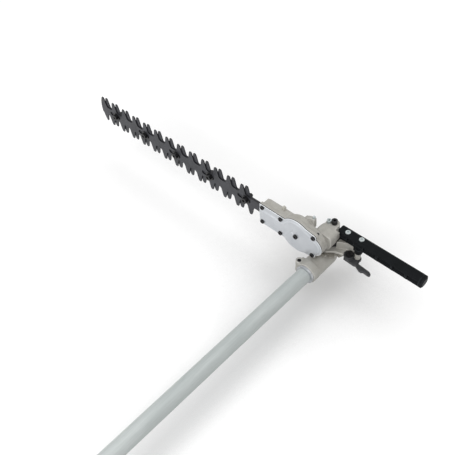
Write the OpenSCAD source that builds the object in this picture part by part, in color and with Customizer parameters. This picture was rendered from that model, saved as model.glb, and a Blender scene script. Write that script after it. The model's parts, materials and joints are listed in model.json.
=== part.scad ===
// Articulated hedge trimmer head on a pole tube.
// Origin: centre of the tube's free end face. +Y runs up the tube, +Z is the tilt axis of the head.
// At rest the head is bent 90 degrees: the blades point to -X and the grip handle to +X.

/* [Tube] */
// Outside radius of the tube
tube_r = 13; // [12.5:0.1:13.2]
// Wall of the tube
tube_wall = 1.5; // [1.2:0.1:1.8]
// Distance from the tube's free end to the tilt axis
pivot_y = 550; // [400:10:900]
// Radius of the locating hole near the free end
locating_hole_r = 3.2; // [2.5:0.1:4]
// Radius of the drive shaft in the tube
drive_shaft_r = 3.5; // [3:0.1:3.9]

/* [Head] */
// Height of the head's axis above the tube's axis
head_z = 48; // [48:0.5:52]
// Outside radius of the neck
neck_r = 17.1; // [16.8:0.1:18]
// Distance from the neck's axis to the crank's axis, towards the blade tip
crank_x = 37; // [37:1:37]
// Outside radius of the round part of the gear case
case_r = 33.4; // [33.4:0.2:34.2]
// Radius of the gear case's end behind the pinion
case_end_r = 19; // [18.8:0.2:19.6]
// Half height of the gear case's nose
nose_half = 21.9; // [21.7:0.1:22.5]

/* [Blades] */
// Distance from tooth to tooth along one blade
tooth_pitch = 31.5; // [31:0.5:32]
// Number of teeth on each side of a blade
tooth_count = 13; // [6:1:14]
// Half width of a blade over its tooth tips
blade_half = 29.7; // [28.7:0.5:30.7]
// Width of a tooth near its tip
tooth_tip = 6.9; // [6:0.1:7.5]
// Half height of the blade's solid middle
blade_core = 9.4; // [9:0.2:10]
// Thickness of one blade
blade_t = 2; // [1.8:0.1:2]
// Travel of each blade to either side of its middle place
blade_throw = 8; // [6:0.5:8]

/* [Handle] */
// Length of the grip handle
handle_length = 152; // [150:1:180]
// Height of the grip handle along the tilt axis
handle_h = 18.5; // [18:0.5:20]
// Width of the grip handle
handle_w = 18.4; // [18:0.2:19]

/* [Gears] */
// Number of teeth on the crank gear
crank_teeth = 60; // [60:1:60]
// Number of teeth on the pinion that turns it
pinion_teeth = 14; // [14:1:14]
// Number of teeth on each bevel gear
bevel_teeth = 12; // [12:1:12]
// Radius of a bevel gear at its pitch circle
bevel_r = 8.4; // [8.4:0.1:8.4]

/* [Hidden] */
$fn = 48;

// Small gaps
over = 1;
tuck = 0.05;
fit_gap = 0.05;
free_gap = 0.3;

// Tube and clamp housing
tube_depth = 38;
mouth_y = pivot_y - 64;
tube_end_y = mouth_y + tube_depth - 2;
housing_r = 17.8;
housing_dome_y = pivot_y - 10;
hub_r = 12.5;
hub_low_z = -9;
rim_r = 18.5;
rim_w = 14;
collar_r = 16.5;
collar_w = 4;
ear_x = -19.2;
ear_boss_r = 6.2;
ear_y = [mouth_y + 1, mouth_y + 16];
ear_z = [-12, 12.8];
pinch_y = mouth_y + 6.4;
pinch_r = 2;
pinch_head_r = 3.2;
pinch_seat = 3;
slit_w = 1.6;
slit_depth = 30;
locating_y = 30;
line_y = 60;
line_w = 1.2;
line_depth = 0.3;
locating_screw_y = mouth_y + 26;
bush_y = [50, 190, 330, 450];
bush_length = 18;
shaft_square = 5;
shaft_out = 12;

// Bearings and shafts
bearing_r = 11;
bearing_w = 7;
shaft_r = 4;
bearing_y = pivot_y - 24.5;
cavity_r = 9.8;
bore_r = 10.4;
sleeve_r = 7.5;
sleeve_flange_r = 9.7;
sleeve_flange_z = [15.6, 17.6];
plate_z = [19, 23.5];
plate_hub_r = 16;
plate_rim_r = 32.5;
plate_notch_r = 27.5;
notch_step = 30;
notch_first = -38.6;
notch_angles = [0, 1, 2];
arm_z = [23.8, 28];
ring_z = [28.1, 29.3];
sleeve_top_z = 30.6;

// Head, measured along Y from the tilt axis
blade_y = pivot_y - 38;
case_front_y = pivot_y - 43.65;
bar_y = blade_y + 2 * blade_t + 0.15;
bar_t = 3;
floor_y = bar_y + bar_t;
nose_edge_y = pivot_y - 26.8;
nose_back_y = pivot_y - 23.4;
pocket_y = pivot_y - 29.3;
case_edge_y = pivot_y - 30;
case_back_y = pivot_y - 25.8;
ear_back_y = pivot_y - 33.4;
upper_ear_y = pivot_y - 37;
flange_t = 5;
flange_step = 0.9;
back_in = 3.9;
nose_back_in = 3.3;
gasket_t = 1.1;
cover_rim_t = 0.8;
cover_rim_y = case_front_y - gasket_t - cover_rim_t;
cover_face_y = pivot_y - 47;
shoulder_in = 2.7;
face_in = 5.1;
shoulder_half = 12.4;
nose_x = -116;
body_nose_x = nose_x + 3;
pocket_r = 31.2;
pocket_end_r = 16.5;
nose_pocket_half = 18;
nose_screw = [-109.5, 16.6];
mid_screw = [-70, 16.6];
rear_screw = [-3.2, 20.3];
rear_reach = norm([rear_screw[0] + crank_x, rear_screw[1]]);
rear_lean = atan2(rear_screw[1], rear_screw[0] + crank_x);
ear_r = 5.6;
case_end_x = -5;
screw_r = 2;
screw_head_r = 3.8;
screw_head_h = 2.4;
neck_top = 16;
neck_corner = 7;
neck_end_y = pivot_y - 10;
dome_r = 16;
dome_y = pivot_y - 3;
pad_r = 9;
neck_head_r = 4.95;
pad_top_z = head_z + neck_top;
neck_screw_y = pivot_y + 4;
plug_at = [-8.6, pivot_y + 1.2];
plug_z = head_z + 15;
plug_head_r = 3.85;
lug_y = pivot_y - 27;
lug_t = 7;
nipple_at = [-77.3, pivot_y - 28.4];

// Blades, measured along X from the neck's axis
first_tooth_x = -540.6;
front_end_x = -550.8;
rear_end_x = -553;
blade_end_r = 61;
tooth_shift = 18.6;
rest_offset = 4.5;
gap_r = 5;
gap_root = 9.3;
tip_bevel = 1.4;
tip_bevel_h = 2.7;
bolt_x = -154.5;
bolt_pitch = -87.5;
bolt_count = 5;
bolt_r = 3.5;
bolt_head_r = 5.8;
bolt_head_h = 5;
bolt_tail = 7.5;
slot_r = 4;
slot_spare = 3;
washer_r = 8.5;
washer_t = 1;
nut_r = 6.4;
nut_t = 4;
bar_half = 6;
bar_pad_r = 9.5;
bar_tip_x = -536;
bar_root_x = -78;
yoke_window_r = 12.9;
yoke_r = 16.5;
yoke_half = blade_throw + 0.4;
roller_r = 4.4;
roller_pin_r = 3;

// Crank and gears
gear_addendum = 0.8;
gear_dedendum = 1.05;
tooth_share = 0.44;
tip_share = 0.26;
crank_gear_y = bar_y + 0.3;
crank_gear_t = 4;
crank_angle = acos(-rest_offset / blade_throw);
crank_bolt_r = 3;
bevel_angle = 45;
bevel_addendum = 0.75;
bevel_dedendum = 1.2;
bevel_face = 4.2;
bevel_out_of_mesh = 2.5;
bevel_flank = 15;
bevel_space_half = 0.9;

// Handle and latch
handle_x = 13.3;
handle_y = pivot_y - 2.3;
handle_low_z = head_z - 6;
handle_split_z = head_z + 2.5;
handle_round = 5.5;
handle_end_x = handle_x + handle_length;
cap_t = 6;
lip_x = 10.6;
lip_z = head_z + 9.5;
land_x = 9.6;
land_y = pivot_y - 5.5;
skirt_x = [43.5, 58.5];
skirt_z = head_z - 10;
skirt_r = 6.4;
core_x = 148;
core_y = pivot_y + 2.5;
core_w = 8;
core_z = [head_z - 4, head_z + 7];
handle_screw_at = [[26, pivot_y + 5.4], [51, pivot_y + 7]];
handle_screw_r = 1.8;
handle_head_r = 4.2;
pocket_x = [[29, 42], [60, 83], [87, 110], [113.5, 135.5], [139, 158]];
pocket_depth = 2.6;
pocket_top_z = head_z + 7.6;
lever_at = [52.7, pivot_y - 0.7];
lever_z = [19.5, 23.7];
lever_boss_r = 4.7;
lever_hub_r = 6.4;
lever_pin_r = 2.2;
lever_pin_head_r = 3.8;
latch_at = [40.3, pivot_y - 6.2];
latch_r = 8.4;
latch_top_z = 28;
latch_cup_r = 6.2;
latch_cup_z = 21.4;
latch_clear_r = plate_rim_r + 0.5;
latch_cap_r = 6.8;
spring_wire_r = 0.6;
spring_r = 5;
spring_turns = 4;

// ---------- helpers ----------

// A flat outline, drawn in X and Z, made into a plate from y0 along +Y
module plate_y(y0, t) {
  translate([0, y0 + t, 0]) rotate([90, 0, 0]) linear_extrude(t) children();
}

// A round bar along +Y
module rod_y(x, y0, z, length, r) {
  translate([x, y0, z]) rotate([-90, 0, 0]) cylinder(h = length, r = r);
}

// A round bar along +Z
module rod_z(x, y, z0, length, r) {
  translate([x, y, z0]) cylinder(h = length, r = r);
}

// Two circles on the X axis joined by their outer tangents
module round_pair(x1, r1, x2, r2, facets = 96) {
  lean = asin((r1 - r2) / abs(x2 - x1));
  side = x2 > x1 ? 1 : -1;
  a = r1 - tuck;
  b = r2 - tuck;
  translate([x1, 0]) circle(r1, $fn = facets);
  translate([x2, 0]) circle(r2, $fn = facets);
  polygon([
    [x1 + side * a * sin(lean), a * cos(lean)],
    [x2 + side * b * sin(lean), b * cos(lean)],
    [x2 + side * b * sin(lean), -b * cos(lean)],
    [x1 + side * a * sin(lean), -a * cos(lean)]
  ]);
}

// A slot with round ends, centred at x
module slot_2d(x, half, r) {
  for (side = [-1, 1]) translate([x + side * half, 0]) circle(r);
  translate([x - half, -r]) square([2 * half, 2 * r]);
}

// Both halves of a pair that lie above and below the X axis
module both_sides(at) {
  for (side = [-1, 1]) translate([at[0], side * at[1]]) children();
}

// A socket cap screw whose head's underside is at the origin, with the shank along -Z
module cap_screw(head_r, head_h, r, length) {
  difference() {
    cylinder(h = head_h, r = head_r);
    translate([0, 0, head_h * 0.45]) cylinder(h = head_h, r = head_r * 0.5, $fn = 6);
  }
  translate([0, 0, -length]) cylinder(h = length + head_h * 0.3, r = r);
}

// ---------- tube side ----------

module outer_tube() {
  color([0.75, 0.78, 0.77]) difference() {
    rod_y(0, 0, 0, tube_end_y, tube_r);
    rod_y(0, -over, 0, tube_end_y + 2 * over, tube_r - tube_wall);
    rod_z(0, locating_y, -tube_r - over, tube_r + over, locating_hole_r);
    rod_z(0, locating_screw_y, -tube_r - over, tube_r + over, screw_r);
    difference() {
      rod_y(0, line_y, 0, line_w, tube_r + over);
      rod_y(0, line_y - over, 0, line_w + 2 * over, tube_r - line_depth);
    }
  }
}

module shaft_bushes() {
  color([0.2, 0.2, 0.2]) for (y = bush_y) difference() {
    rod_y(0, y, 0, bush_length, tube_r - tube_wall);
    rod_y(0, y - over, 0, bush_length + 2 * over, drive_shaft_r + fit_gap);
  }
}

module clamp_body() {
  rod_y(0, mouth_y, 0, housing_dome_y - mouth_y, housing_r);
  rod_y(0, mouth_y, 0, rim_w, rim_r);
  translate([0, housing_dome_y, 0]) sphere(housing_r);
  rod_z(0, pivot_y, hub_low_z - over, plate_z[0] - hub_low_z + over, hub_r);
  rod_z(0, pivot_y - 23, 0, plate_z[0], 9);
  translate([ear_x, ear_y[0], ear_z[0]]) cube([-ear_x, ear_y[1] - ear_y[0], ear_z[1] - ear_z[0]]);
  rod_z(ear_x, pinch_y, ear_z[0], ear_z[1] - ear_z[0], ear_boss_r);
}

module clamp_housing() {
  slit_x = ear_x - ear_boss_r - over;
  color([0.66, 0.64, 0.6]) difference() {
    clamp_body();
    rod_y(0, mouth_y - over, 0, tube_depth - 2 + over, tube_r);
    rod_y(0, mouth_y, 0, bearing_y - mouth_y + over, bearing_r - 1.6);
    rod_y(0, bearing_y, 0, bearing_w, bearing_r);
    rod_y(0, bearing_y, 0, pivot_y - bearing_y, bore_r);
    rod_z(0, pivot_y, hub_low_z + 2, plate_z[0] - hub_low_z, cavity_r);
    translate([slit_x, mouth_y - over, -slit_w / 2])
      cube([-tube_r + over - slit_x, slit_depth + over, slit_w]);
    rod_z(ear_x, pinch_y, ear_z[0] - over, 2 * ear_z[1], pinch_r);
    rod_z(ear_x, pinch_y, ear_z[1] - pinch_seat, pinch_seat + over, pinch_head_r + free_gap);
    rod_z(0, locating_screw_y, -housing_r - over, housing_r + over, screw_r);
    rod_z(0, locating_screw_y, -housing_r - over, over + free_gap, screw_head_r + free_gap);
    for (side = [-1, 1]) rod_z(side * 4.5, pivot_y - 23, 12.5, 8, screw_r);
  }
}

module clamp_collar() {
  color([0.82, 0.83, 0.84]) difference() {
    rod_y(0, mouth_y - collar_w, 0, collar_w, collar_r);
    rod_y(0, mouth_y - collar_w - over, 0, collar_w + 2 * over, tube_r);
  }
}

module pinch_screw() {
  color([0.1, 0.1, 0.1]) translate([ear_x, pinch_y, ear_z[1] - pinch_seat])
    cap_screw(pinch_head_r, 2.4, pinch_r, 16);
}

module locating_screw() {
  color([0.1, 0.1, 0.1]) translate([0, locating_screw_y, -housing_r + free_gap])
    rotate([180, 0, 0]) cap_screw(screw_head_r, 2.6, screw_r, 6.4);
}

// A ball bearing drawn as its two rings, its shields and its balls' space closed up
module ball_bearing(y, outer, inner, width) {
  difference() {
    rod_y(0, y, 0, width, outer);
    rod_y(0, y - over, 0, width + 2 * over, inner);
    for (end = [y - over, y + width - 0.4]) difference() {
      rod_y(0, end, 0, over + 0.4, outer - 1.6);
      rod_y(0, end - over, 0, 3 * over, inner + 1.6);
    }
  }
}

module input_bearing() {
  color([0.8, 0.81, 0.83]) ball_bearing(bearing_y, bearing_r, shaft_r + fit_gap, bearing_w);
}

module pivot_sleeve() {
  color([0.7, 0.71, 0.73]) difference() {
    union() {
      rod_z(0, pivot_y, sleeve_flange_z[0], sleeve_top_z - sleeve_flange_z[0], sleeve_r);
      rod_z(0, pivot_y, sleeve_flange_z[0], plate_z[0] - sleeve_flange_z[0], sleeve_flange_r);
    }
    rod_z(0, pivot_y, sleeve_flange_z[0] - over, sleeve_top_z, shaft_r + fit_gap);
    difference() {
      rod_z(0, pivot_y, ring_z[0] - fit_gap, ring_z[1] - ring_z[0] + 2 * fit_gap, sleeve_r + over);
      rod_z(0, pivot_y, ring_z[0] - over, ring_z[1] - ring_z[0] + 2 * over, sleeve_r - 1);
    }
  }
}

// One notch of the sector: steep on one side and sloped on the other
module notch_2d() {
  polygon([
    [plate_notch_r, -1.6],
    [plate_rim_r + over, -3.2],
    [plate_rim_r + over, 5.4],
    [plate_notch_r, 2.2]
  ]);
}

module index_plate() {
  sector_from = -104;
  sector_to = -9;
  sector_mid = (sector_from + sector_to) / 2;
  color([0.42, 0.41, 0.39]) difference() {
    translate([0, pivot_y, plate_z[0]]) linear_extrude(plate_z[1] - plate_z[0]) {
      circle(plate_hub_r);
      difference() {
        circle(plate_rim_r, $fn = 96);
        rotate(sector_from) translate([-50, -100]) square([150, 100]);
        rotate(sector_to) translate([-50, 0]) square([150, 100]);
        for (i = notch_angles) rotate(notch_first - i * notch_step) notch_2d();
      }
    }
    rod_z(0, pivot_y, plate_z[0] - over, plate_z[1], sleeve_r);
    for (side = [-1, 1]) {
      rod_z(side * 4.5, pivot_y - 23, plate_z[0] - over, plate_z[1], screw_r);
      rod_z(side * 4.5, pivot_y - 23, plate_z[1] - 1.8, plate_z[1], 3.4);
    }
  }
}

module plate_screws() {
  color([0.75, 0.76, 0.78]) for (side = [-1, 1])
    translate([side * 4.5, pivot_y - 23, plate_z[1] - 1.8]) cap_screw(3.2, 1.6, screw_r, 8);
}

// ---------- input drive ----------

module drive_shaft() {
  color([0.62, 0.63, 0.65]) {
    rod_y(0, 4, 0, bearing_y - 4 - 1.5, drive_shaft_r);
    rod_y(0, bearing_y - 1.5, 0, pivot_y - 5.8 - bearing_y + 1.5, shaft_r);
    translate([-shaft_square / 2, -shaft_out, -shaft_square / 2])
      cube([shaft_square, shaft_out + 6, shaft_square]);
  }
}

// One space between two bevel teeth: a wedge that narrows towards the cone's point
module bevel_space(near, cone) {
  translate([0, 0, -bevel_dedendum]) for (lean = [-bevel_flank, bevel_flank]) rotate([lean, 0, 0])
    linear_extrude(4) polygon([
      [near, -bevel_space_half * near / cone],
      [cone + 3, -bevel_space_half * (cone + 3) / cone],
      [cone + 3, bevel_space_half * (cone + 3) / cone],
      [near, bevel_space_half * near / cone]
    ]);
}

// A bevel gear with its cone's point at the origin and its teeth towards -Z. Its hub ends at -hub_end.
module bevel_gear(hub_end, hub_radius, bore, turn) {
  cone = bevel_r / sin(bevel_angle);
  near = cone - bevel_face;
  s = sin(bevel_angle);
  c = cos(bevel_angle);
  back = bevel_dedendum * 1.3;
  toe = bevel_dedendum * 1.15;
  difference() {
    rotate_extrude() polygon([
      [0, -near * c - toe * s],
      [near * s - toe * c, -near * c - toe * s],
      [near * s + bevel_addendum * c, -near * c + bevel_addendum * s],
      [cone * s + bevel_addendum * c, -cone * c + bevel_addendum * s],
      [cone * s - back * c, -cone * c - back * s],
      [hub_radius, -cone * c - back * s],
      [hub_radius, -hub_end],
      [0, -hub_end]
    ]);
    for (i = [0 : bevel_teeth - 1]) rotate([0, bevel_angle, turn + i * 360 / bevel_teeth])
      bevel_space(near - 3, cone);
    translate([0, 0, -hub_end - over]) cylinder(h = hub_end + over, r = bore);
  }
}

module input_bevel() {
  color([0.6, 0.61, 0.63]) translate([0, pivot_y, 0]) rotate([-90, 0, 0])
    bevel_gear(pivot_y - bearing_y - bearing_w - 0.2, 6.4, shaft_r, 15);
}

// ---------- head ----------

// The round part of the case joined to the ear of a rear screw, above or below the X axis
module ear_arm(side, inset) {
  translate([-crank_x, 0]) rotate(side * rear_lean)
    round_pair(0, case_r - inset - 2, rear_reach, ear_r - inset);
}

module case_outline() {
  round_pair(-crank_x, case_r, case_end_x, case_end_r);
  translate([nose_x, -nose_half]) square([-crank_x - nose_x, 2 * nose_half]);
  for (side = [-1, 1]) ear_arm(side, 0);
}

// The round part of the case in few facets, for the sloping surfaces
module round_case(inset) {
  round_pair(-crank_x, case_r - inset, case_end_x, case_end_r - inset, 48);
}

module screw_places() {
  both_sides(nose_screw) children();
  both_sides(mid_screw) children();
  both_sides(rear_screw) children();
}

module pocket_outline() {
  difference() {
    union() {
      round_pair(-crank_x, pocket_r, case_end_x, pocket_end_r);
      translate([nose_x - over, -nose_pocket_half]) square([-crank_x - nose_x, 2 * nose_pocket_half]);
    }
    screw_places() circle(screw_r + 1.8);
  }
}

// The arm from the neck to the latch, drawn in X and Y around the tilt axis
module arm_outline() {
  difference() {
    union() {
      circle(hub_r + 3.7);
      polygon([
        [-6, -13], [5, -26], [9, -25.4], [20, -17], [33, -12.5],
        [52, -3], [54, 5], [46, 11], [6, 15]
      ]);
    }
    translate([latch_at[0], latch_at[1] - pivot_y]) circle(latch_r + 0.6);
  }
}

// Half of the neck's cross section, to the right of its axis
module neck_half(r, top) {
  flat = r - neck_corner;
  square([flat, top]);
  square([r, top - neck_corner]);
  translate([flat, top - neck_corner]) circle(neck_corner);
}

module neck_solids() {
  rod_y(0, case_back_y - over, 0, dome_y - case_back_y + over, dome_r);
  rod_y(0, case_back_y - over, 0, neck_end_y - case_back_y + over, neck_r - 0.1);
  plate_y(case_back_y - over, neck_end_y - case_back_y + over) {
    neck_half(neck_r, neck_top);
    mirror([1, 0]) neck_half(neck_r, neck_top);
  }
  translate([0, neck_end_y, 0]) rotate_extrude() neck_half(neck_r - 0.1, neck_top - 0.1);
  translate([0, dome_y, 0]) sphere(dome_r);
}

module case_solids() {
  body_y = case_front_y + flange_t;
  plate_y(case_front_y, flange_t) case_outline();
  plate_y(body_y, nose_edge_y - body_y) translate([body_nose_x, flange_step - nose_half])
    square([-crank_x - body_nose_x, 2 * nose_half - 2 * flange_step]);
  plate_y(body_y, ear_back_y - body_y) ear_arm(-1, flange_step);
  plate_y(body_y, case_edge_y - body_y)
    round_pair(-crank_x, case_r - flange_step, case_end_x, case_end_r - flange_step);
  plate_y(body_y, upper_ear_y - body_y) ear_arm(1, flange_step);
  hull() {
    plate_y(case_edge_y - 0.2, 0.2) round_case(flange_step + 0.1);
    plate_y(case_back_y - 0.1, 0.1) round_case(back_in);
  }
  hull() {
    plate_y(nose_edge_y - 0.2, 0.2) translate([body_nose_x + 0.1, flange_step + 0.1 - nose_half])
      square([-crank_x - body_nose_x - 22, 2 * nose_half - 2 * flange_step - 0.2]);
    plate_y(nose_back_y - 0.1, 0.1) translate([body_nose_x + nose_back_in, nose_back_in - nose_half])
      square([-crank_x - body_nose_x - 24, 2 * nose_half - 2 * nose_back_in]);
  }
  plate_y(lug_y, lug_t)
    polygon([[-40, 18], [-37, 28.4], [-27, 34], [-23.8, 35.7], [-17.8, 35.7], [-16.8, 18]]);
}

module head_solids() {
  translate([0, 0, head_z]) {
    case_solids();
    neck_solids();
  }
  rod_z(0, neck_screw_y, head_z, pad_top_z - head_z, pad_r);
  rod_z(plug_at[0], plug_at[1], head_z, plug_z - head_z, plug_head_r + 1.2);
  rod_z(0, pivot_y, arm_z[0], head_z - arm_z[0], hub_r);
  translate([0, pivot_y, arm_z[0]]) linear_extrude(arm_z[1] - arm_z[0]) arm_outline();
  // handle core, its web and the lever's boss
  translate([12, core_y, core_z[0]]) cube([core_x - 12, core_w, core_z[1] - core_z[0]]);
  translate([16.2, core_y, arm_z[0]]) cube([30, core_w, core_z[0] - arm_z[0] + over]);
  translate([0, 0, arm_z[0]]) linear_extrude(handle_low_z - arm_z[0])
    polygon([[16.2, pivot_y - 9], [38, pivot_y + 3.8], [46, core_y + 3], [16.2, core_y + 3]]);
  rod_z(lever_at[0], lever_at[1], arm_z[0] + 0.2, core_z[0] + 3 - arm_z[0], lever_boss_r);
  translate([lever_at[0] - 4, lever_at[1], core_z[0] - 5]) cube([8, 6, 8]);
}

module head_hollows() {
  translate([0, 0, head_z]) {
    plate_y(case_front_y - over, floor_y - case_front_y + over) pocket_outline();
    plate_y(case_front_y - over, pocket_y - case_front_y + over) difference() {
      round_pair(-crank_x, pocket_r, case_end_x, pocket_end_r);
      screw_places() circle(screw_r + 1.8);
    }
    plate_y(case_front_y - over, floor_y - case_front_y) screw_places() circle(screw_r);
    rod_y(-crank_x, pocket_y - over, 0, 2.9, crank_bolt_r);
    rod_y(0, bearing_y, 0, bearing_w, bearing_r);
    rod_y(0, pocket_y - over, 0, bearing_w, bearing_r - 1.6);
    rod_y(0, bearing_y, 0, pivot_y - bearing_y, bore_r);
  }
  rod_z(0, pivot_y, arm_z[1], head_z + 9 - arm_z[1], cavity_r);
  rod_z(0, pivot_y, arm_z[0] - over, arm_z[1], sleeve_r + fit_gap);
  rod_z(0, neck_screw_y, pad_top_z - 5, 8, 2.5);
  rod_z(0, neck_screw_y, pad_top_z, 3, neck_head_r + free_gap);
  rod_z(plug_at[0], plug_at[1], plug_z - 4, 6, 2);
  rod_z(plug_at[0], plug_at[1], plug_z, 3, plug_head_r + free_gap);
  translate([land_x, land_y, lip_z - 0.1]) cube([20, 30, 20]);
  for (at = handle_screw_at) rod_z(at[0], at[1], core_z[0] - over, 20, handle_screw_r);
  rod_z(lever_at[0], lever_at[1], arm_z[0] - over, core_z[0] + 2 - arm_z[0], lever_pin_r);
}

module head_casting() {
  color([0.66, 0.65, 0.62]) difference() {
    head_solids();
    head_hollows();
  }
}

module cover_gasket() {
  color([0.12, 0.12, 0.12]) translate([0, 0, head_z])
    plate_y(case_front_y - gasket_t, gasket_t) difference() {
      case_outline();
      pocket_outline();
      screw_places() circle(screw_r);
    }
}

// The raised strip of the cover along the nose
module nose_strip(inset) {
  half = shoulder_half + shoulder_in - inset;
  translate([nose_x + inset - 3, -half]) square([-crank_x - nose_x, 2 * half]);
}

module gear_cover() {
  color([0.76, 0.78, 0.81]) translate([0, 0, head_z]) difference() {
    union() {
      plate_y(cover_rim_y, cover_rim_t) case_outline();
      hull() {
        plate_y(cover_rim_y, 0.1) round_case(shoulder_in);
        plate_y(cover_face_y, 0.1) round_case(face_in);
      }
      hull() {
        plate_y(cover_rim_y, 0.1) nose_strip(shoulder_in);
        plate_y(cover_face_y, 0.1) nose_strip(face_in);
      }
    }
    plate_y(cover_face_y - over, cover_rim_t + 4) screw_places() circle(screw_r);
    plate_y(cover_face_y - over, cover_rim_y - cover_face_y + over)
      screw_places() circle(screw_head_r + free_gap);
    plate_y(cover_face_y - over, cover_rim_t + 4) translate([-crank_x, 0]) circle(crank_bolt_r);
    rod_y(-crank_x - 8, cover_face_y - over, 5, over + 0.8, 2.2);
  }
}

module cover_screws() {
  length = floor_y - cover_rim_y - 2;
  color([0.07, 0.07, 0.07]) translate([0, cover_rim_y, head_z]) rotate([90, 0, 0]) screw_places() {
    cap_screw(screw_head_r, screw_head_h, screw_r, length);
  }
}

module crank_bolt() {
  length = pocket_y + 1.8 - cover_face_y;
  color([0.07, 0.07, 0.07]) translate([-crank_x, cover_face_y, head_z]) rotate([90, 0, 0])
    cap_screw(screw_head_r + 0.4, screw_head_h, crank_bolt_r, length);
}

module neck_bearing() {
  color([0.8, 0.81, 0.83]) translate([0, 0, head_z])
    ball_bearing(bearing_y, bearing_r, shaft_r + fit_gap, bearing_w);
}

module retaining_ring() {
  color([0.5, 0.5, 0.52]) translate([0, pivot_y, ring_z[0]]) difference() {
    cylinder(h = ring_z[1] - ring_z[0], r = cavity_r - 0.4);
    translate([0, 0, -over]) cylinder(h = 4, r = sleeve_r - 1 + fit_gap);
  }
}

module hub_ring() {
  color([0.2, 0.2, 0.2]) difference() {
    rod_z(0, pivot_y, arm_z[1], 10.5, hub_r + 3.1);
    rod_z(0, pivot_y, arm_z[1] - over, 13, hub_r);
    rod_y(0, case_back_y, head_z, neck_end_y - case_back_y, neck_r);
    rod_y(0, case_back_y, head_z, dome_y - case_back_y, dome_r);
    translate([0, dome_y, head_z]) sphere(dome_r);
  }
}

module neck_screw() {
  color([0.07, 0.07, 0.07]) translate([0, neck_screw_y, pad_top_z]) cap_screw(neck_head_r, 7, 2.5, 4.8);
}

module grease_plug() {
  color([0.8, 0.81, 0.82]) translate([plug_at[0], plug_at[1], plug_z]) cap_screw(plug_head_r, 5.2, 2, 2.8);
}

module breather_plug() {
  color([0.85, 0.86, 0.86]) translate([-20.6, lug_y + 4, head_z + 35.7]) {
    cylinder(h = 2.4, r = 2.4);
    translate([0, 0, 2.4]) sphere(2.4);
  }
}

module grease_nipple() {
  color([0.85, 0.84, 0.8]) translate([nipple_at[0], nipple_at[1], head_z + nose_half - flange_step]) {
    cylinder(h = 3.6, r = 3.7);
    cylinder(h = 4.8, r = 2.8);
    translate([0, 0, 4.8]) sphere(2.8);
  }
}

// ---------- cutting bar ----------

module bolt_places() {
  for (i = [0 : bolt_count - 1]) translate([bolt_x + i * bolt_pitch, 0]) children();
}

module guide_bar() {
  color([0.12, 0.12, 0.13]) translate([0, 0, head_z]) plate_y(bar_y, bar_t) difference() {
    union() {
      translate([bar_tip_x, -bar_half]) square([bar_root_x - bar_tip_x, 2 * bar_half]);
      translate([bar_tip_x, 0]) circle(bar_half);
      translate([body_nose_x + 0.5, -nose_pocket_half + 0.1])
        square([bar_root_x - 12 - body_nose_x, 2 * nose_pocket_half - 0.2]);
      bolt_places() circle(bar_pad_r);
    }
    bolt_places() circle(bolt_r);
    both_sides(nose_screw) circle(screw_r + 1.9);
  }
}

module blade_bolts() {
  color([0.06, 0.06, 0.06]) translate([0, blade_y - washer_t, head_z]) rotate([90, 0, 0])
    bolt_places() cap_screw(bolt_head_r, bolt_head_h, bolt_r, washer_t + floor_y - blade_y + bolt_tail);
}

module blade_washers() {
  color([0.2, 0.2, 0.2]) translate([0, 0, head_z]) plate_y(blade_y - washer_t, washer_t - fit_gap)
    bolt_places() difference() {
      circle(washer_r);
      circle(bolt_r);
    }
}

module blade_nuts() {
  color([0.1, 0.1, 0.1]) translate([0, 0, head_z]) plate_y(floor_y, nut_t) bolt_places() difference() {
    circle(nut_r, $fn = 6);
    circle(bolt_r);
  }
}

// The gap between two teeth, open towards +Y
module tooth_gap() {
  half = (tooth_pitch - tooth_tip) / 2;
  root_y = blade_core + gap_r;
  tip_y = blade_half - tip_bevel_h;
  for (side = [-1, 1]) translate([side * (gap_root - gap_r), root_y]) circle(gap_r);
  translate([gap_r - gap_root, blade_core]) square([2 * (gap_root - gap_r), 2 * gap_r]);
  polygon([
    [-gap_root, root_y],
    [-half, tip_y],
    [-half - tip_bevel, blade_half + 0.1],
    [half + tip_bevel, blade_half + 0.1],
    [half, tip_y],
    [gap_root, root_y]
  ]);
}

// What is cut away to give a blade its rounded end
module end_cut(end_x) {
  difference() {
    translate([end_x - 40, -blade_half - over]) square([48, 2 * blade_half + 2 * over]);
    translate([end_x + blade_end_r, 0]) circle(blade_end_r, $fn = 96);
  }
}

// The outline of one blade. upper_x and lower_x are the places of its first teeth, and
// upper_from and lower_from the first gaps that are cut.
module blade_outline(upper_x, lower_x, upper_from, lower_from, end_x, middle) {
  half = tooth_pitch / 2;
  length = tooth_pitch * tooth_count;
  difference() {
    union() {
      translate([end_x, -blade_core]) square([-end_x - crank_x + middle - yoke_half - 14, 2 * blade_core]);
      translate([upper_x - half, 0]) square([length, blade_half]);
      translate([lower_x - half, -blade_half]) square([length, blade_half]);
    }
    for (i = [upper_from : tooth_count]) translate([upper_x - half + i * tooth_pitch, 0]) tooth_gap();
    for (i = [lower_from : tooth_count])
      translate([lower_x - half + i * tooth_pitch, 0]) mirror([0, 1]) tooth_gap();
    translate([bolt_x + middle, 0]) for (i = [0 : bolt_count - 1])
      slot_2d(i * bolt_pitch, blade_throw + slot_spare, slot_r);
    end_cut(end_x);
  }
  difference() {
    slot_2d(-crank_x + middle, yoke_half, yoke_r);
    slot_2d(-crank_x + middle, yoke_half, yoke_window_r);
  }
}

module front_blade() {
  color([0.36, 0.36, 0.39]) translate([0, 0, head_z]) plate_y(blade_y, blade_t)
    blade_outline(first_tooth_x, first_tooth_x + tooth_shift, 1, 0, front_end_x, -rest_offset);
}

module rear_blade() {
  rear_x = first_tooth_x + 2 * rest_offset;
  color([0.32, 0.32, 0.35]) translate([0, 0, head_z]) plate_y(blade_y + blade_t + fit_gap, blade_t)
    blade_outline(rear_x, rear_x + tooth_shift - tooth_pitch, 0, 1, rear_end_x, rest_offset);
}

// ---------- handle and latch ----------

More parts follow.
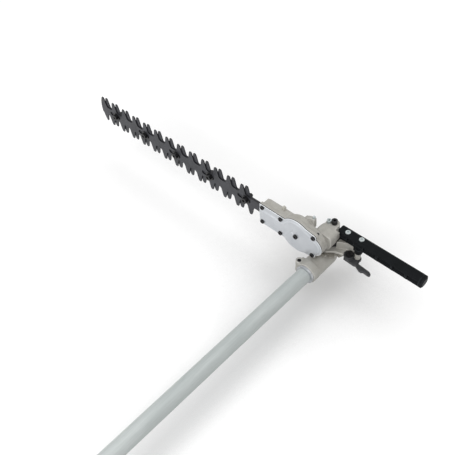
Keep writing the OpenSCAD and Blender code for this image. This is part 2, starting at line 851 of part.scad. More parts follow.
// The rounded cross section of the grip, drawn in Y and Z and made smaller by inset
module grip_section(inset) {
  r = handle_round;
  y0 = handle_y + inset;
  z0 = handle_low_z + inset;
  w = handle_w - 2 * inset;
  h = handle_h - 2 * inset;
  translate([y0 + r, z0]) square([w - 2 * r, h]);
  translate([y0, z0 + r]) square([w, h - 2 * r]);
  for (y = [y0 + r, y0 + w - r], z = [z0 + r, z0 + h - r]) translate([y, z]) circle(r);
}

// A stretch of the grip along X, between the heights z0 and z1
module handle_block(x0, x1, z0, z1) {
  translate([x0, 0, 0]) rotate([90, 0, 90]) linear_extrude(x1 - x0) intersection() {
    grip_section(0);
    translate([handle_y - over, z0]) square([handle_w + 2 * over, z1 - z0]);
  }
}

module handle_inside() {
  translate([0, core_y, core_z[0]]) cube([core_x, core_w, core_z[1] - core_z[0]]);
  translate([0, core_y, skirt_z - over]) cube([46.2, core_w, 10]);
  rod_z(lever_at[0], lever_at[1], skirt_z - over, core_z[0] + 4.2 - skirt_z, lever_boss_r);
  translate([lever_at[0] - 4, lever_at[1], skirt_z - over]) cube([8, 6, core_z[0] + 4 - skirt_z]);
  translate([0, dome_y, head_z]) sphere(dome_r + fit_gap);
  rod_z(0, neck_end_y, handle_low_z - over, lip_z - handle_low_z + over, neck_r + fit_gap);
  rod_z(0, neck_screw_y, handle_low_z, handle_h + over, pad_r + fit_gap);
  rod_z(0, pivot_y, skirt_z, 10, hub_r + 3.2);
}

// The recesses along the grip's front, open below
module handle_pockets() {
  for (x = pocket_x) translate([x[0], handle_y - over, handle_low_z - over])
    cube([x[1] - x[0], pocket_depth + over, pocket_top_z - handle_low_z + over]);
}

module handle_upper() {
  top_z = handle_low_z + handle_h;
  color([0.08, 0.08, 0.09]) difference() {
    union() {
      handle_block(handle_x, handle_end_x - cap_t, handle_split_z, top_z);
      handle_block(lip_x, handle_x + over, lip_z, top_z);
    }
    handle_inside();
    handle_pockets();
    for (at = handle_screw_at) rod_z(at[0], at[1], handle_split_z - over, 20, handle_screw_r);
    for (at = handle_screw_at) rod_z(at[0], at[1], top_z - 1.2, 20, handle_head_r + 0.15);
  }
}

module handle_lower() {
  color([0.08, 0.08, 0.09]) difference() {
    union() {
      handle_block(handle_x, handle_end_x - cap_t, handle_low_z, handle_split_z);
      translate([skirt_x[0], handle_y, skirt_z])
        cube([skirt_x[1] - skirt_x[0], handle_w - handle_round - 2, handle_low_z + handle_round - skirt_z]);
      rod_z(lever_at[0], lever_at[1], skirt_z, handle_low_z + handle_round - skirt_z, skirt_r);
    }
    handle_inside();
    handle_pockets();
  }
}

module handle_end_cap() {
  color([0.08, 0.08, 0.09]) {
    handle_block(handle_end_x - cap_t, handle_end_x - 1, handle_low_z, handle_low_z + handle_h);
    translate([handle_end_x - 1.1, 0, 0]) rotate([90, 0, 90]) linear_extrude(1.1) grip_section(1.4);
  }
}

module handle_screws() {
  head_z0 = handle_low_z + handle_h - 1.2;
  color([0.78, 0.79, 0.8]) for (at = handle_screw_at) translate([at[0], at[1], head_z0])
    cap_screw(handle_head_r, 2, handle_screw_r, head_z0 - core_z[0]);
}

module lever_pin() {
  color([0.1, 0.1, 0.1]) {
    rod_z(lever_at[0], lever_at[1], lever_z[0] + 0.1, 1, lever_pin_head_r);
    rod_z(lever_at[0], lever_at[1], lever_z[0] + 0.1, core_z[0] - lever_z[0], lever_pin_r);
  }
}

module latch_spring() {
  color([0.6, 0.6, 0.62]) translate([latch_at[0], latch_at[1], latch_cup_z + spring_wire_r])
    for (i = [0 : spring_turns - 1]) translate([0, 0, i * 2 * spring_wire_r * 0.98])
      rotate_extrude() translate([spring_r, 0]) circle(spring_wire_r, $fn = 16);
}

module latch_cap() {
  color([0.1, 0.1, 0.1]) difference() {
    union() {
      rod_z(latch_at[0], latch_at[1], latch_top_z, 1.4, latch_cap_r);
      rod_z(latch_at[0], latch_at[1], latch_top_z - 1.2, 1.4, latch_cup_r);
    }
    translate([latch_at[0], latch_at[1], latch_top_z + 0.5]) rotate(-14)
      translate([-5, -0.8, 0]) cube([10, 1.6, 2]);
  }
}

module latch_lever() {
  color([0.22, 0.22, 0.23]) difference() {
    union() {
      rod_z(lever_at[0], lever_at[1], lever_z[0], lever_z[1] - lever_z[0], lever_hub_r);
      rod_z(latch_at[0], latch_at[1], lever_z[0], latch_top_z - lever_z[0], latch_r);
      translate([0, pivot_y, lever_z[0]]) linear_extrude(lever_z[1] - lever_z[0]) polygon([
        [36, -15.2], [55.7, -16], [59.1, -14.8], [67.7, -19.1], [72.4, -19.8], [75.5, -17.2], [84.5, -18],
        [87.5, -16.6], [87.4, -13.8], [83, -10.8], [60.8, -9.1], [59, -4], [47, 3]
      ]);
    }
    rod_z(0, pivot_y, lever_z[0] - over, 20, latch_clear_r);
    rod_z(latch_at[0], latch_at[1], latch_cup_z, 10, latch_cup_r);
    rod_z(lever_at[0], lever_at[1], lever_z[0] - over, 10, lever_pin_r + fit_gap);
    rod_z(lever_at[0], lever_at[1], lever_z[0] - over, over + 1.2, lever_pin_head_r + fit_gap);
  }
}

// ---------- turning parts in the head ----------

module cross_shaft() {
  low_z = 5.9 + bevel_out_of_mesh;
  color([0.62, 0.63, 0.65]) rod_z(0, pivot_y, low_z, head_z - 5.9 - low_z, shaft_r);
}

module cross_bevel_low() {
  color([0.6, 0.61, 0.63]) translate([0, pivot_y, bevel_out_of_mesh]) rotate([180, 0, 0])
    bevel_gear(sleeve_flange_z[0] - 0.2 - bevel_out_of_mesh, 5.8, shaft_r, 0);
}

module cross_bevel_high() {
  color([0.6, 0.61, 0.63]) translate([0, pivot_y, head_z])
    bevel_gear(head_z - sleeve_top_z - 0.3, 5.8, shaft_r, 0);
}

module neck_shaft() {
  color([0.62, 0.63, 0.65])
    rod_y(0, crank_gear_y, head_z, pivot_y - 5.9 - crank_gear_y, shaft_r);
}

module neck_bevel() {
  color([0.6, 0.61, 0.63]) translate([0, pivot_y, head_z]) rotate([-90, 0, 0])
    bevel_gear(pivot_y - bearing_y - bearing_w - 0.2, 6.4, shaft_r, 15);
}

// A spur gear with straight-sided teeth. One tooth points along +X, turned by turn.
module spur_2d(teeth, turn) {
  pitch_r = teeth / 2;
  root_r = pitch_r - gear_dedendum;
  tip_r = pitch_r + gear_addendum;
  step = 360 / teeth;
  root_half = step * (tooth_share + (tooth_share - tip_share) * 0.7) / 2;
  tip_half = step * tip_share / 2;
  circle(root_r, $fn = 96);
  for (i = [0 : teeth - 1]) rotate(turn + i * step) polygon([
    [root_r * cos(root_half) - 0.4, root_r * sin(root_half)],
    [tip_r * cos(tip_half), tip_r * sin(tip_half)],
    [tip_r * cos(tip_half), -tip_r * sin(tip_half)],
    [root_r * cos(root_half) - 0.4, -root_r * sin(root_half)]
  ]);
}

module crank_pinion() {
  color([0.6, 0.61, 0.63]) translate([0, 0, head_z]) plate_y(crank_gear_y, crank_gear_t) difference() {
    spur_2d(pinion_teeth, 180 + 180 / pinion_teeth);
    circle(shaft_r);
  }
}

module crank_gear() {
  color([0.55, 0.56, 0.58]) translate([-crank_x, 0, head_z]) {
    plate_y(crank_gear_y, crank_gear_t) difference() {
      spur_2d(crank_teeth, 0);
      circle(crank_bolt_r + fit_gap);
      for (i = [0 : 5]) rotate(30 + i * 60) translate([19, 0]) circle(5);
    }
    for (side = [0, 180]) rotate([0, -crank_angle + side, 0]) {
      pin_y = side == 0 ? blade_y : blade_y + blade_t;
      rod_y(blade_throw, pin_y, 0, crank_gear_y - pin_y, roller_pin_r);
    }
  }
}

module crank_rollers() {
  color([0.75, 0.76, 0.78]) translate([-crank_x, 0, head_z])
    for (side = [0, 180]) rotate([0, -crank_angle + side, 0]) difference() {
      pin_y = side == 0 ? blade_y : blade_y + blade_t;
      rod_y(blade_throw, pin_y, 0, crank_gear_y - pin_y - 0.1, roller_r);
      rod_y(blade_throw, pin_y - over, 0, 10, roller_pin_r);
    }
}

outer_tube();
shaft_bushes();
clamp_housing();
clamp_collar();
pinch_screw();
locating_screw();
input_bearing();
pivot_sleeve();
index_plate();
plate_screws();
drive_shaft();
input_bevel();
head_casting();
cover_gasket();
gear_cover();
cover_screws();
crank_bolt();
neck_bearing();
retaining_ring();
hub_ring();
neck_screw();
grease_plug();
breather_plug();
grease_nipple();
guide_bar();
blade_bolts();
blade_washers();
blade_nuts();
handle_upper();
handle_lower();
handle_end_cap();
handle_screws();
lever_pin();
latch_spring();
cross_shaft();
cross_bevel_low();
cross_bevel_high();
neck_shaft();
neck_bevel();
crank_pinion();
crank_gear();
crank_rollers();
front_blade();
rear_blade();
latch_lever();
latch_cap();
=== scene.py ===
import json
from math import radians, sqrt

import bpy
from mathutils import Matrix, Vector

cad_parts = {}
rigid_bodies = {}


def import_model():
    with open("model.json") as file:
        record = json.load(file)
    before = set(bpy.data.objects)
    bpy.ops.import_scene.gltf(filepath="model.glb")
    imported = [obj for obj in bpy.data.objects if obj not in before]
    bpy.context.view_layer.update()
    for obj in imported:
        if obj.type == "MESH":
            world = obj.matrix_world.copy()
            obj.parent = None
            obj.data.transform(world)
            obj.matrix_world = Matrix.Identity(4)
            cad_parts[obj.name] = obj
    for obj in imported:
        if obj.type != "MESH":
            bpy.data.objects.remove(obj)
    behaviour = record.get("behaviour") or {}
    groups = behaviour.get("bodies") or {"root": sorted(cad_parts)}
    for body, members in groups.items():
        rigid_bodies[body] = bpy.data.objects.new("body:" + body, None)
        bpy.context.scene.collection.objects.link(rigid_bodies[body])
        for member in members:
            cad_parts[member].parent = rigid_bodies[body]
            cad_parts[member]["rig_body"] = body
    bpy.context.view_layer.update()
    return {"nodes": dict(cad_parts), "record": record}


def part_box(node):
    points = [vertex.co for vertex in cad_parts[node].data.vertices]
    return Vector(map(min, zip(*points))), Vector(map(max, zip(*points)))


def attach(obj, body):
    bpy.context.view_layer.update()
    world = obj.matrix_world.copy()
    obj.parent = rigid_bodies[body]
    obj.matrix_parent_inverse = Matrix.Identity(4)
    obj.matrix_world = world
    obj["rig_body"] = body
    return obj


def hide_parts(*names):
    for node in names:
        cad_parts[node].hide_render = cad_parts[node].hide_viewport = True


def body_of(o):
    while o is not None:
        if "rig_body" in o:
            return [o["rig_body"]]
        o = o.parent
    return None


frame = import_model()
NODES = frame["nodes"]
MM = 0.001

# ---------- the grip's front pockets, in metres ----------

# Where they lie along X and how high over the grip's underside, each 0.2 mm past the pocket in the solids
POCKETS = [(0.0288, 0.0422), (0.0598, 0.0832), (0.0868, 0.1102), (0.1133, 0.1357), (0.1388, 0.1582)]
POCKET_HEIGHT = 0.0138
# Depths behind the grip's front: one just past the solids' flat floor of 2.6 mm, the two that it is moved
# to at the grip's underside and at the upper edge, and the one from which the mesh stays as it was.
# From 1 mm over the underside up, the floor itself ends up 1.2 mm to 3.8 mm deep: it lies before the first
# of these depths, the grip's rounded lower edge lies behind the second, and the corner is smoothed.
POCKET_SOLID = 0.0027
POCKET_FOOT = 0.0004
POCKET_DEPTH = 0.0043
POCKET_REACH = 0.0047
# The step aimed at from the grip's rounded lower edge down to a floor, and that edge's radius
POCKET_STEP = 0.0003
GRIP_ROUND = 0.0055
# The upper half of each pocket is painted darker, a painted shade under the pocket's upper edge. How far that
# colour takes to fade: behind the pockets and past the last one, and over half height; then from where to where
# about the upper edge and behind the front
POCKET_FADE = 0.0004
MIDDLE_FADE = 0.001
TOP_FADE = (-0.0002, 0.0003)
FRONT_FADE = (0.0008, 0.0018)

# ---------- camera, as the picture sees the object ----------

CAMERA_PLACE = Vector((0.3698, -0.0078, 0.8024))
CAMERA_AZIMUTH = 47.99
CAMERA_ELEVATION = 48.10
CAMERA_ROLL = -5.18
CAMERA_LENS = 48.99
CAMERA_SENSOR = 36
CAMERA_REACH = 20


def make_camera():
    """A camera at the picture's viewing angle: azimuth about +Z, then down, then rolled about its own axis."""
    data = bpy.data.cameras.new("camera")
    data.lens = CAMERA_LENS
    data.sensor_width = CAMERA_SENSOR
    data.clip_end = CAMERA_REACH
    camera = bpy.data.objects.new("camera", data)
    bpy.context.scene.collection.objects.link(camera)
    turn = (
        Matrix.Rotation(radians(CAMERA_AZIMUTH), 4, "Z")
        @ Matrix.Rotation(radians(90 - CAMERA_ELEVATION), 4, "X")
        @ Matrix.Rotation(radians(CAMERA_ROLL), 4, "Z")
    )
    camera.matrix_world = Matrix.Translation(CAMERA_PLACE) @ turn
    bpy.context.scene.camera = camera


# ---------- material tools ----------

SCREEN_WHITE = 255
COAT_ROUGHNESS = 0.15
# How much paler the rubbed patches of dark metal are
RUBBED_GAIN = 2.4
RUBBED_LIFT = 0.01


def paint(red, green, blue):
    """A colour given as 0 to 255 screen values, as the linear values that Blender uses (the sRGB curve)."""

    def linear(value):
        value /= SCREEN_WHITE
        return value / 12.92 if value <= 0.04045 else ((value + 0.055) / 1.055) ** 2.4

    return (linear(red), linear(green), linear(blue), 1)


class Finish:
    """One procedural material, built from noise in the object's own coordinates."""

    def __init__(self, name, metallic=0.0, specular=0.5, coat=0.0):
        self.material = bpy.data.materials.new(name)
        self.material.use_nodes = True
        self.tree = self.material.node_tree
        self.shader = self.tree.nodes["Principled BSDF"]
        self.shader.inputs["Metallic"].default_value = metallic
        self.shader.inputs["Specular IOR Level"].default_value = specular
        if coat:
            self.shader.inputs["Coat Weight"].default_value = coat
            self.shader.inputs["Coat Roughness"].default_value = COAT_ROUGHNESS
        self.place = self.tree.nodes.new("ShaderNodeTexCoord").outputs["Object"]
        self.normal = None

    def link(self, out, into):
        self.tree.links.new(out, into)

    def noise(self, size, detail=4.0, stretch=(1, 1, 1), rough=0.55):
        """Noise whose cells are about size metres across, made longer along an axis by stretch."""
        mapping = self.tree.nodes.new("ShaderNodeMapping")
        mapping.inputs["Scale"].default_value = [1 / (size * s) for s in stretch]
        self.link(self.place, mapping.inputs["Vector"])
        texture = self.tree.nodes.new("ShaderNodeTexNoise")
        texture.inputs["Scale"].default_value = 1
        texture.inputs["Detail"].default_value = detail
        texture.inputs["Roughness"].default_value = rough
        self.link(mapping.outputs["Vector"], texture.inputs["Vector"])
        return texture.outputs["Fac"]

    def cells(self, size):
        """The distance to the nearest of scattered points about size metres apart."""
        mapping = self.tree.nodes.new("ShaderNodeMapping")
        mapping.inputs["Scale"].default_value = [1 / size] * 3
        self.link(self.place, mapping.inputs["Vector"])
        texture = self.tree.nodes.new("ShaderNodeTexVoronoi")
        texture.inputs["Scale"].default_value = 1
        self.link(mapping.outputs["Vector"], texture.inputs["Vector"])
        return texture.outputs["Distance"]

    def ramp(self, factor, *stops):
        """Colours along a factor; stops are (position, colour)."""
        node = self.tree.nodes.new("ShaderNodeValToRGB")
        elements = node.color_ramp.elements
        while len(elements) < len(stops):
            elements.new(0.5)
        for element, (position, colour) in zip(elements, stops):
            element.position = position
            element.color = colour
        self.link(factor, node.inputs["Fac"])
        return node.outputs["Color"]

    def spread(self, factor, low, high, start=0.3, end=0.7):
        """The factor's range from start to end as numbers from low to high."""
        node = self.tree.nodes.new("ShaderNodeMapRange")
        node.inputs["From Min"].default_value = start
        node.inputs["From Max"].default_value = end
        node.inputs["To Min"].default_value = low
        node.inputs["To Max"].default_value = high
        self.link(factor, node.inputs["Value"])
        return node.outputs["Result"]

    def mix(self, factor, first, second, blend="MIX"):
        """The first colour at factor 0 and the second at 1; each is a colour or a node's output."""
        node = self.tree.nodes.new("ShaderNodeMix")
        node.data_type = "RGBA"
        node.blend_type = blend
        for value, name in ((factor, "Factor"), (first, "A"), (second, "B")):
            slots = [i for i in node.inputs if i.name == name]
            into = slots[0] if name == "Factor" else [i for i in slots if i.type == "RGBA"][0]
            if isinstance(value, bpy.types.NodeSocket):
                self.link(value, into)
            else:
                into.default_value = value
        return [o for o in node.outputs if o.type == "RGBA"][0]

    def colour(self, out):
        self.link(out, self.shader.inputs["Base Color"])
        return self

    def roughness(self, out):
        self.link(out, self.shader.inputs["Roughness"])
        return self

    def bump(self, height, depth, strength):
        """Raises the surface by height, depth metres at most."""
        node = self.tree.nodes.new("ShaderNodeBump")
        node.inputs["Strength"].default_value = strength
        node.inputs["Distance"].default_value = depth
        self.link(height, node.inputs["Height"])
        if self.normal:
            self.link(self.normal, node.inputs["Normal"])
        self.normal = node.outputs["Normal"]
        self.link(self.normal, self.shader.inputs["Normal"])
        return self

    def edges(self, low, high):
        """1 on the outer edges of a finely divided mesh and 0 elsewhere; low and high bound its Pointiness."""
        geometry = self.tree.nodes.new("ShaderNodeNewGeometry")
        return self.spread(geometry.outputs["Pointiness"], 0, 1, low, high)

    def along(self, axis, start, end):
        """0 before start and 1 past end along one of the object's axes, in metres."""
        split = self.tree.nodes.new("ShaderNodeSeparateXYZ")
        self.link(self.place, split.inputs["Vector"])
        return self.spread(split.outputs[axis], 0, 1, start, end)

    def facing(self, axis, low, high):
        """1 where the surface faces along an axis (either way), and 0 where it faces sideways."""
        geometry = self.tree.nodes.new("ShaderNodeNewGeometry")
        split = self.tree.nodes.new("ShaderNodeSeparateXYZ")
        size = self.tree.nodes.new("ShaderNodeMath")
        size.operation = "ABSOLUTE"
        self.link(geometry.outputs["Normal"], split.inputs["Vector"])
        self.link(split.outputs[axis], size.inputs[0])
        return self.spread(size.outputs["Value"], 0, 1, low, high)


# ---------- materials ----------


def cast_alloy():
    """Sand-cast and tumbled alloy: a warm grey with mottling, a fine grain and paler outer edges, partly rubbed
    wear and partly a painted highlight.
    """
    f = Finish("cast_alloy", metallic=0.2, specular=0.45)
    mottle = f.noise(0.014, 5)
    grain = f.noise(0.0009, 3, rough=0.7)
    base = f.ramp(mottle, (0.3, paint(164, 162, 155)), (0.5, paint(173, 171, 165)), (0.72, paint(182, 181, 176)))
    specks = f.ramp(grain, (0.32, paint(205, 203, 198)), (0.55, paint(255, 255, 255)))
    base = f.mix(0.55, base, specks, "MULTIPLY")
    # Paler outer edges: partly rubbed wear, partly a painted highlight
    f.colour(f.mix(f.edges(0.505, 0.57), base, paint(204, 203, 198)))
    f.roughness(f.spread(mottle, 0.5, 0.68))
    return f.bump(grain, 0.00022, 0.55).bump(mottle, 0.0006, 0.25).material


def cover_paint():
    """Silver lacquer on a pressed cover: fine flakes, a slight orange peel, and outer edges painted near-white as
    a highlight.
    """
    f = Finish("cover_paint", metallic=0.4, specular=0.6, coat=0.5)
    flake = f.noise(0.0005, 2, rough=0.8)
    cloud = f.noise(0.03, 3)
    base = f.ramp(cloud, (0.3, paint(187, 191, 196)), (0.7, paint(199, 202, 206)))
    base = f.mix(0.4, base, f.ramp(flake, (0.35, paint(214, 216, 219)), (0.6, paint(255, 255, 255))), "MULTIPLY")
    # Outer edges painted near-white: a painted highlight
    f.colour(f.mix(f.edges(0.504, 0.54), base, paint(240, 243, 245)))
    f.roughness(f.spread(flake, 0.26, 0.36))
    return f.bump(f.noise(0.0022, 2), 0.00025, 0.3).material


def tube_alloy():
    """Satin anodised tube, with faint drawing lines along its length."""
    f = Finish("tube_alloy", metallic=0.25, specular=0.4)
    lines = f.noise(0.0007, 3, stretch=(1, 60, 1))
    cloud = f.noise(0.02, 3, stretch=(1, 4, 1))
    base = f.ramp(cloud, (0.3, paint(174, 180, 179)), (0.7, paint(186, 191, 190)))
    base = f.mix(0.5, base, f.ramp(lines, (0.3, paint(226, 228, 228)), (0.6, paint(255, 255, 255))), "MULTIPLY")
    f.colour(base)
    f.roughness(f.spread(lines, 0.5, 0.64))
    return f.bump(lines, 0.00006, 0.3).material


def blade_steel():
    """Blackened blade steel: grey ground faces with fine scratches, and the edge faces, which don't face along Y,
    painted near-black as shade.
    """
    f = Finish("blade_steel", metallic=0.35, specular=0.45)
    scratch = f.noise(0.0008, 4, stretch=(18, 1, 1), rough=0.65)
    cloud = f.noise(0.018, 4)
    face = f.ramp(cloud, (0.3, paint(48, 49, 53)), (0.7, paint(62, 63, 68)))
    face = f.mix(0.6, face, f.ramp(scratch, (0.35, paint(208, 208, 210)), (0.6, paint(255, 255, 255))), "MULTIPLY")
    # Faces that don't face along Y take the near-black colour: painted shade on the blade's edges
    f.colour(f.mix(f.facing("Y", 0.75, 0.97), paint(34, 34, 37), face))
    f.roughness(f.spread(scratch, 0.36, 0.55))
    return f.bump(scratch, 0.00006, 0.5).material


def bright_steel():
    """Turned and ground steel, with fine machining marks."""
    f = Finish("bright_steel", metallic=0.9)
    marks = f.noise(0.0005, 3, stretch=(1, 1, 10))
    f.colour(f.ramp(f.noise(0.006, 3), (0.3, paint(172, 174, 178)), (0.7, paint(200, 202, 205))))
    f.roughness(f.spread(marks, 0.24, 0.4))
    return f.bump(marks, 0.00003, 0.4).material


def zinc_steel():
    """Zinc plating: bright, slightly blue, with a soft spangle."""
    f = Finish("zinc_steel", metallic=0.55, specular=0.4)
    spangle = f.noise(0.0022, 2, rough=0.7)
    f.colour(f.ramp(spangle, (0.3, paint(158, 165, 166)), (0.65, paint(190, 197, 197))))
    f.roughness(f.spread(spangle, 0.34, 0.5))
    return f.bump(spangle, 0.00005, 0.3).material


def dark_metal(name, low, high, rough, grain_size=0.0012):
    """Black oxide or black paint on steel, cloudy, with a fine tooth and paler rubbed patches."""
    f = Finish(name, metallic=0.3, specular=0.45)
    cloud = f.noise(0.006, 4)
    grain = f.noise(grain_size, 3, rough=0.7)
    rub = f.spread(f.noise(0.0035, 5, rough=0.75), 0, 0.55, 0.6, 0.8)
    rubbed = tuple(min(1, RUBBED_GAIN * c + RUBBED_LIFT) for c in high[:3]) + (1,)
    f.colour(f.mix(rub, f.ramp(cloud, (0.3, low), (0.7, high)), rubbed))
    f.roughness(f.spread(grain, rough - 0.08, rough + 0.1))
    return f.bump(grain, 0.00008, 0.4).material


def grip_plastic():
    """Black moulded plastic with a fine grain and a cloudy, fairly rough finish; its outer edges are paler, a
    painted highlight, and the upper half of its front pockets is painted darker as shade.
    """
    f = Finish("grip_plastic", specular=0.05)
    grain = f.cells(0.0011)
    cloud = f.noise(0.02, 4)
    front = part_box("handle_upper")[0].y
    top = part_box("handle_end_cap")[0].z + POCKET_HEIGHT
    middle = top - POCKET_HEIGHT / 2
    base = f.ramp(cloud, (0.3, paint(16, 18, 20)), (0.7, paint(25, 27, 29)))
    # Painted shade: near-black in the upper half of each front pocket, under its upper edge
    dark = paint(1, 1, 2)
    pocket = f.mix(f.along("Y", front + POCKET_REACH, front + POCKET_REACH + POCKET_FADE), dark, base)
    pocket = f.mix(f.along("Z", top + TOP_FADE[0], top + TOP_FADE[1]), pocket, base)
    pocket = f.mix(f.along("Z", middle, middle + MIDDLE_FADE), base, pocket)
    pocket = f.mix(f.along("X", POCKETS[-1][1], POCKETS[-1][1] + POCKET_FADE), pocket, base)
    base = f.mix(f.along("Y", front + FRONT_FADE[0], front + FRONT_FADE[1]), base, pocket)
    # Paler outer edges: a painted highlight
    f.colour(f.mix(f.edges(0.506, 0.56), base, paint(52, 56, 59)))
    f.roughness(f.spread(cloud, 0.42, 0.56))
    return f.bump(grain, 0.00014, 0.4).material


def gasket():
    """Dull black gasket board."""
    f = Finish("gasket", specular=0.3)
    grain = f.noise(0.0009, 3)
    f.colour(f.ramp(f.noise(0.01, 3), (0.3, paint(34, 34, 36)), (0.7, paint(52, 52, 54))))
    f.roughness(f.spread(grain, 0.7, 0.9))
    return f.bump(grain, 0.0001, 0.4).material


def plate_steel():
    """Phosphated plate, with the marks of stamping."""
    f = Finish("plate_steel", metallic=0.4)
    cloud = f.noise(0.008, 5, rough=0.65)
    f.colour(f.ramp(cloud, (0.3, paint(112, 109, 102)), (0.7, paint(142, 138, 130))))
    f.roughness(f.spread(cloud, 0.42, 0.6))
    return f.bump(f.noise(0.001, 3), 0.0001, 0.4).material


def nipple_brass():
    """Plated brass, dulled to a warm grey."""
    f = Finish("nipple_brass", metallic=0.15)
    cloud = f.noise(0.004, 4)
    f.colour(f.ramp(cloud, (0.3, paint(168, 166, 158)), (0.7, paint(190, 188, 180))))
    f.roughness(f.spread(cloud, 0.4, 0.6))
    return f.bump(f.noise(0.0008, 3), 0.0001, 0.4).material


def bush_plastic():
    """Off-white bearing plastic."""
    f = Finish("bush_plastic")
    cloud = f.noise(0.006, 3)
    f.colour(f.ramp(cloud, (0.3, paint(214, 211, 200)), (0.7, paint(230, 228, 218))))
    f.roughness(f.spread(cloud, 0.4, 0.55))
    return f.bump(f.noise(0.0008, 2), 0.00005, 0.3).material


MATERIALS = {
    "tube_alloy": tube_alloy(),
    "bush_plastic": bush_plastic(),
    "cast_alloy": cast_alloy(),
    "bright_steel": bright_steel(),
    "black_steel": dark_metal("black_steel", paint(16, 16, 18), paint(28, 28, 30), 0.36),
    "zinc_steel": zinc_steel(),
    "plate_steel": plate_steel(),
    "cover_paint": cover_paint(),
    "gasket": gasket(),
    "blade_steel": blade_steel(),
    "bar_steel": dark_metal("bar_steel", paint(24, 24, 26), paint(36, 36, 38), 0.48, 0.0009),
    "grip_plastic": grip_plastic(),
    "lever_steel": dark_metal("lever_steel", paint(50, 51, 53), paint(68, 69, 71), 0.45),
    "nipple_brass": nipple_brass(),
}
SLOT_OF = {part["node"]: part["material_slot"] for part in frame["record"]["subparts"]}


def dress(obj, slot_name):
    """Gives the object the finish of a material slot of the record."""
    obj.data.materials.clear()
    obj.data.materials.append(MATERIALS[slot_name])


# ---------- pieces ----------

SMOOTH_FACTOR = 0.5
WELD_REACH = 0.01 * MM
# In degrees: flatter edges than the first are dissolved, and sharper ones than the second are bevelled
FLAT_ANGLE = 1
SHARP_ANGLE = 40
BEVEL_SEGMENTS = 2


def apply_modifiers(obj):
    """Puts the result of the object's modifiers into its mesh."""
    bpy.context.view_layer.update()
    depsgraph = bpy.context.evaluated_depsgraph_get()
    mesh = bpy.data.meshes.new_from_object(obj.evaluated_get(depsgraph))
    obj.modifiers.clear()
    obj.data = mesh


def soft_copy(node, voxel, rounds, keep, reshape=None):
    """A copy of a CAD node with every edge and corner rounded, as on a casting or a moulding."""
    source = NODES[node]
    piece = bpy.data.objects.new(node + "_piece", source.data.copy())
    bpy.context.scene.collection.objects.link(piece)
    remesh = piece.modifiers.new("remesh", "REMESH")
    remesh.mode = "VOXEL"
    remesh.voxel_size = voxel
    smooth = piece.modifiers.new("smooth", "SMOOTH")
    smooth.factor = SMOOTH_FACTOR
    smooth.iterations = rounds
    apply_modifiers(piece)
    if reshape:
        reshape(piece.data)
    thin = piece.modifiers.new("thin", "DECIMATE")
    thin.ratio = keep
    apply_modifiers(piece)
    for face in piece.data.polygons:
        face.use_smooth = True
    hand_over(piece, node)


def pocket_floor(height):
    """How far behind the grip's front POCKET_SOLID is moved, at a height over the grip's underside."""
    height = max(height, 0)
    dip = max(GRIP_ROUND - height, 0)
    rounded = GRIP_ROUND - sqrt(GRIP_ROUND**2 - dip**2)
    sloped = POCKET_FOOT + (POCKET_DEPTH - POCKET_FOOT) * height / POCKET_HEIGHT
    return min(max(sloped, rounded + POCKET_STEP), POCKET_DEPTH)


def slope_pockets(mesh):
    """Slopes the floors of the grip's front pockets, deep under their upper edge; the solids hold flat ones."""
    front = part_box("handle_upper")[0].y
    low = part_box("handle_end_cap")[0].z
    for vertex in mesh.vertices:
        depth = vertex.co.y - front
        height = vertex.co.z - low
        if depth > POCKET_REACH or height > POCKET_HEIGHT:
            continue
        if not any(start < vertex.co.x < end for start, end in POCKETS):
            continue
        floor = pocket_floor(height)
        if depth < POCKET_SOLID:
            depth *= floor / POCKET_SOLID
        else:
            spare = (depth - POCKET_SOLID) / (POCKET_REACH - POCKET_SOLID)
            depth = floor + spare * (POCKET_REACH - floor)
        vertex.co.y = front + depth


def hand_over(piece, node):
    """The piece takes the CAD node's place, body and finish."""
    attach(piece, body_of(NODES[node])[0])
    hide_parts(node)
    dress(piece, SLOT_OF[node])


def bevelled_copy(node, width):
    """A copy of a CAD node with its sharp edges broken."""
    piece = bpy.data.objects.new(node + "_piece", NODES[node].data.copy())
    bpy.context.scene.collection.objects.link(piece)
    weld = piece.modifiers.new("weld", "WELD")
    weld.merge_threshold = WELD_REACH
    flat = piece.modifiers.new("flat", "DECIMATE")
    flat.decimate_type = "DISSOLVE"
    flat.angle_limit = radians(FLAT_ANGLE)
    bevel = piece.modifiers.new("bevel", "BEVEL")
    bevel.width = width
    bevel.segments = BEVEL_SEGMENTS
    bevel.limit_method = "ANGLE"
    bevel.angle_limit = radians(SHARP_ANGLE)
    apply_modifiers(piece)
    for face in piece.data.polygons:
        face.use_smooth = True
    normals = piece.modifiers.new("normals", "WEIGHTED_NORMAL")
    normals.keep_sharp = True
    apply_modifiers(piece)
    hand_over(piece, node)


# ---------- stage ----------

FLOOR_SIZE = 12
FLOOR_CENTRE = (0, 0.4)
FLOOR_GREY = (0.8, 0.8, 0.8, 1)
FLOOR_ROUGHNESS = 0.95
FLOOR_SPECULAR = 0.1
# How far the floor lies under the tool, and the light that it gives off towards the camera
FLOOR_DROP = 0.03
FLOOR_GLOW = 0.34
# The glow fades where the tool covers the sky, a painted shadow on the floor: how far a cover counts, and the open
# share at both ends
HALO_REACH = 0.2
HALO_DARK = 0.78
HALO_CLEAR = 1.0
WHITE = (1, 1, 1, 1)
SKY_STRENGTH = 0.56
# Where the lamps point, and each lamp's name, place, diameter and power
LIT_AT = (0, 0.45, 0.05)
LAMPS = [
    ("key", (0.1, 0.7, 5.0), 7.0, 105),
    ("front", (-0.35, -0.45, 0.55), 0.5, 3.4),
    ("side", (0.9, -0.5, 0.8), 0.8, 3.2),
]


def seen_directly(tree):
    """1 for what the camera sees, itself or in a reflection, and 0 for the light that a surface gives off."""
    rays = tree.nodes.new("ShaderNodeLightPath")
    seen = tree.nodes.new("ShaderNodeMath")
    seen.operation = "MAXIMUM"
    tree.links.new(rays.outputs["Is Camera Ray"], seen.inputs[0])
    tree.links.new(rays.outputs["Is Glossy Ray"], seen.inputs[1])
    return seen.outputs["Value"]


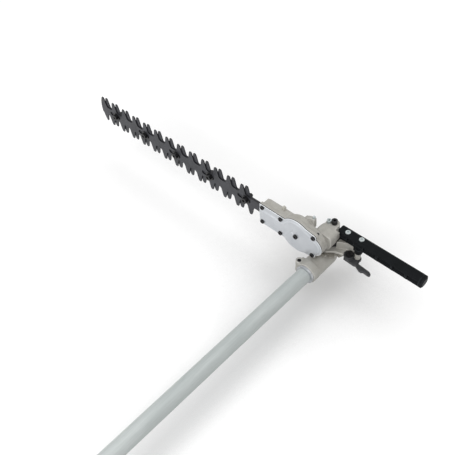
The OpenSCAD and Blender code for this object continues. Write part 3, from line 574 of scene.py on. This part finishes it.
def floor_paint():
    """Pale grey paint that glows to the camera, and glows less where the tool covers the sky: a painted shadow."""
    material = bpy.data.materials.new("floor_paint")
    material.use_nodes = True
    tree = material.node_tree
    shader = tree.nodes["Principled BSDF"]
    shader.inputs["Base Color"].default_value = FLOOR_GREY
    shader.inputs["Roughness"].default_value = FLOOR_ROUGHNESS
    shader.inputs["Specular IOR Level"].default_value = FLOOR_SPECULAR
    shader.inputs["Emission Color"].default_value = WHITE
    open_sky = tree.nodes.new("ShaderNodeAmbientOcclusion")
    open_sky.inputs["Distance"].default_value = HALO_REACH
    # Painted shadow: the glow drops where ambient occlusion finds the tool close by
    painted_shadow = tree.nodes.new("ShaderNodeMapRange")
    painted_shadow.inputs["From Min"].default_value = HALO_DARK
    painted_shadow.inputs["From Max"].default_value = HALO_CLEAR
    painted_shadow.inputs["To Max"].default_value = FLOOR_GLOW
    glow = tree.nodes.new("ShaderNodeMath")
    glow.operation = "MULTIPLY"
    tree.links.new(seen_directly(tree), glow.inputs[0])
    tree.links.new(open_sky.outputs["AO"], painted_shadow.inputs["Value"])
    tree.links.new(painted_shadow.outputs["Result"], glow.inputs[1])
    tree.links.new(glow.outputs["Value"], shader.inputs["Emission Strength"])
    return material


def make_floor():
    """A wide pale floor below the held tool, so that it reads as white paper with the tool's shadow, cast by the
    lamps and deepened by a painted shadow in the floor's glow.
    """
    low = min(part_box(name)[0].z for name in NODES)
    bpy.ops.mesh.primitive_plane_add(size=FLOOR_SIZE, location=(*FLOOR_CENTRE, low - FLOOR_DROP))
    floor = bpy.context.object
    floor.name = "floor"
    floor.data.materials.append(floor_paint())


def make_lamp(name, place, size, power):
    """A round lamp of a size and power that points at the tool's head."""
    data = bpy.data.lights.new(name, "AREA")
    data.shape = "DISK"
    data.size = size
    data.energy = power
    lamp = bpy.data.objects.new(name, data)
    lamp.location = place
    lamp.rotation_euler = (Vector(LIT_AT) - Vector(place)).to_track_quat("-Z", "Y").to_euler()
    bpy.context.scene.collection.objects.link(lamp)


def make_world():
    """A plain studio sky: it lights at its strength, and the camera and reflections see white."""
    world = bpy.data.worlds.new("studio")
    world.use_nodes = True
    tree = world.node_tree
    sky = tree.nodes["Background"]
    sky.inputs["Color"].default_value = WHITE
    level = tree.nodes.new("ShaderNodeMapRange")
    level.inputs["To Min"].default_value = SKY_STRENGTH
    level.inputs["To Max"].default_value = 1
    tree.links.new(seen_directly(tree), level.inputs["Value"])
    tree.links.new(level.outputs["Result"], sky.inputs["Strength"])
    bpy.context.scene.world = world


# ---------- the scene ----------

make_camera()
for name, slot_name in SLOT_OF.items():
    dress(NODES[name], slot_name)

# Rounded pieces, with their voxel size, rounds of smoothing and share of faces kept
soft_copy("head_casting", 0.6 * MM, 4, 0.5)
soft_copy("clamp_housing", 0.6 * MM, 4, 0.5)
soft_copy("gear_cover", 0.4 * MM, 3, 0.4)
soft_copy("handle_upper", 0.5 * MM, 3, 0.4, slope_pockets)
soft_copy("handle_lower", 0.5 * MM, 3, 0.4, slope_pockets)
soft_copy("handle_end_cap", 0.4 * MM, 14, 0.5)
soft_copy("latch_lever", 0.35 * MM, 4, 0.5)
# The blades, with the width of their broken edges
bevelled_copy("front_blade", 0.35 * MM)
bevelled_copy("rear_blade", 0.35 * MM)

make_floor()
make_world()
for lamp in LAMPS:
    make_lamp(*lamp)
bpy.context.scene.view_settings.view_transform = "Standard"
